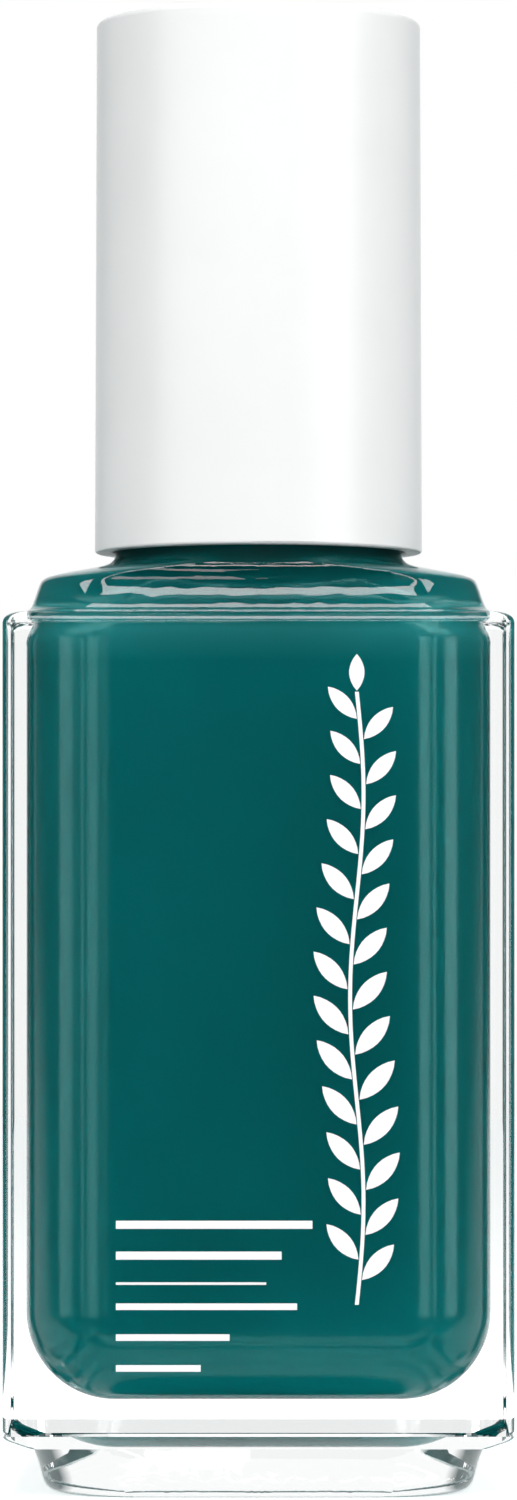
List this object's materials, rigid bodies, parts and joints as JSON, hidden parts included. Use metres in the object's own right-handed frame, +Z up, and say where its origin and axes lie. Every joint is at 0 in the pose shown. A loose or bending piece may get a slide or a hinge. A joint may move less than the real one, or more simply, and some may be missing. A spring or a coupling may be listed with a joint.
{
  "type": "nail polish bottle",
  "caption": "Flat rectangular clear glass bottle of dark teal nail polish on an inset foot, with a tall white cylindrical screw cap that carries the brush.",
  "frame": {"origin": "centre of the bottle's underside, on the plane it stands on", "axes": "+Z up along the bottle's and cap's axis, front of the bottle faces -Y, +X to the right seen from the front"},
  "size_m": [0.0266, 0.018, 0.0779],
  "materials": {
    "clear_glass": "polished, clear",
    "teal_polish": "opaque glossy liquid",
    "label_paper": "matt coated paper",
    "liner_foam": "soft matt",
    "white_shell": "satin moulded plastic",
    "inner_plastic": "moulded plastic",
    "stem_plastic": "moulded plastic",
    "anchor_metal": "stamped metal",
    "bristle_nylon": "fine nylon filaments"
  },
  "bodies": {
    "bottle": {"glass_bottle": "clear_glass", "polish": "teal_polish", "base_label": "label_paper"},
    "seal": {"sealing_liner": "liner_foam"},
    "cap": {"overcap": "white_shell", "inner_cap": "inner_plastic", "brush_stem": "stem_plastic", "tuft_anchor": "anchor_metal", "bristle_tuft": "bristle_nylon"}
  },
  "joints": [
    {"name": "cap_rise", "type": "slide", "parent": "bottle", "child": "seal", "axis": [0, 0, 1], "range_m": [0, 0.0572]},
    {"name": "cap_turn", "type": "hinge", "parent": "seal", "child": "cap", "pos_m": [0, 0, 0.0612], "axis": [0, 0, 1], "range_deg": [0, 9720]}
  ],
  "couplings": [
    {"joint": "cap_rise", "follows": "cap_turn", "m_per_rad": 0.00033693}
  ]
}
